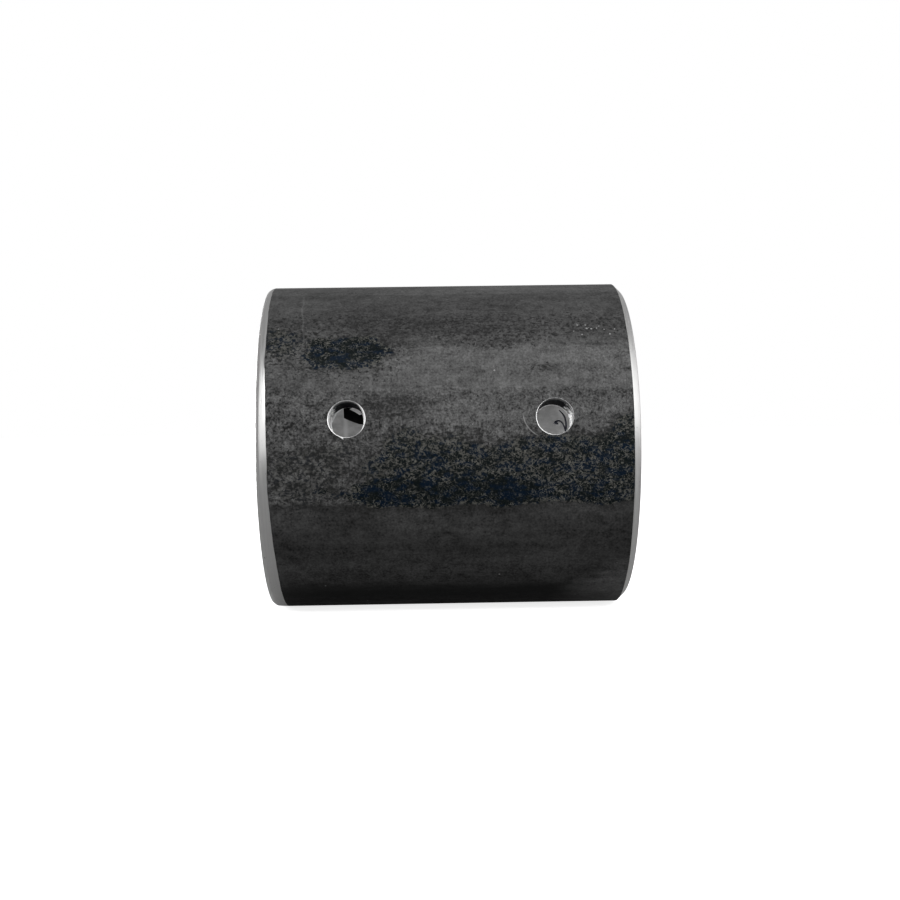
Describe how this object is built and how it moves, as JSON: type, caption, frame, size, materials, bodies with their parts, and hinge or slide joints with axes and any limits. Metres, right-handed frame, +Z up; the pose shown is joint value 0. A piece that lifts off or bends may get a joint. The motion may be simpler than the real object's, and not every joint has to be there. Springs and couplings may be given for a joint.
{
  "type": "rigid sleeve coupling",
  "caption": "One-piece steel sleeve that joins two shaft ends in its bore, with two plain radial holes in line for pins or screws.",
  "frame": {"origin": "middle of the bore, on its axis", "axes": "+X along the bore, from the end with the shallow skimmed edge towards the end with the full bevel; +Z up; the radial holes are on the -Y side, 10 degrees above level"},
  "size_m": [0.0826, 0.0762, 0.0762],
  "materials": {
    "scaled_steel": "dark hot-rolled mill scale",
    "machined_steel": "bare turned and drilled steel"
  },
  "bodies": {
    "root": {"coupling_sleeve": "scaled_steel"}
  },
  "joints": []
}
